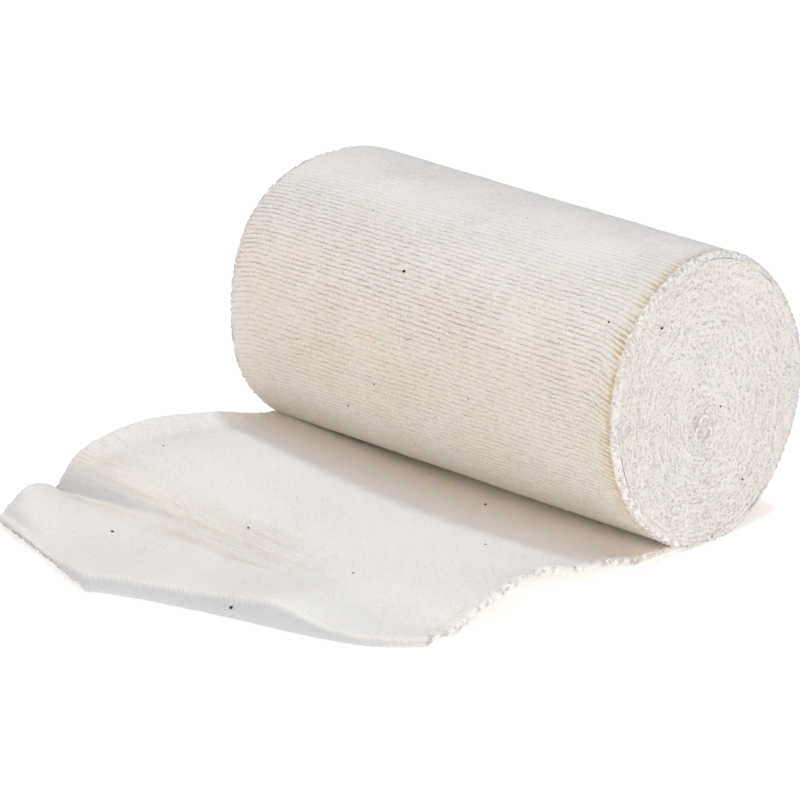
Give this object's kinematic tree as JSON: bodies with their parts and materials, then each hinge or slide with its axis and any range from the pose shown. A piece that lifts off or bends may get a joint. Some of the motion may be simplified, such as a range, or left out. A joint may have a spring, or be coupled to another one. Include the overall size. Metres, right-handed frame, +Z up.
{
  "type": "short stretch bandage roll",
  "caption": "Rolled cotton short stretch bandage with looped selvedges, its loose end laid out in front in a low hump with one corner turned under.",
  "frame": {"origin": "on the surface that the roll rests on, under the middle of the roll", "axes": "+X along the roll's axis towards the end that shows, -Y the way the loose end runs, +Z up"},
  "size_m": [0.1022, 0.1278, 0.0556],
  "materials": {
    "cotton_cloth": "unbleached crimped cotton, ribbed across, softly fuzzy, with small dark seed flecks"
  },
  "bodies": {
    "root": {"bandage": "cotton_cloth"}
  },
  "joints": []
}
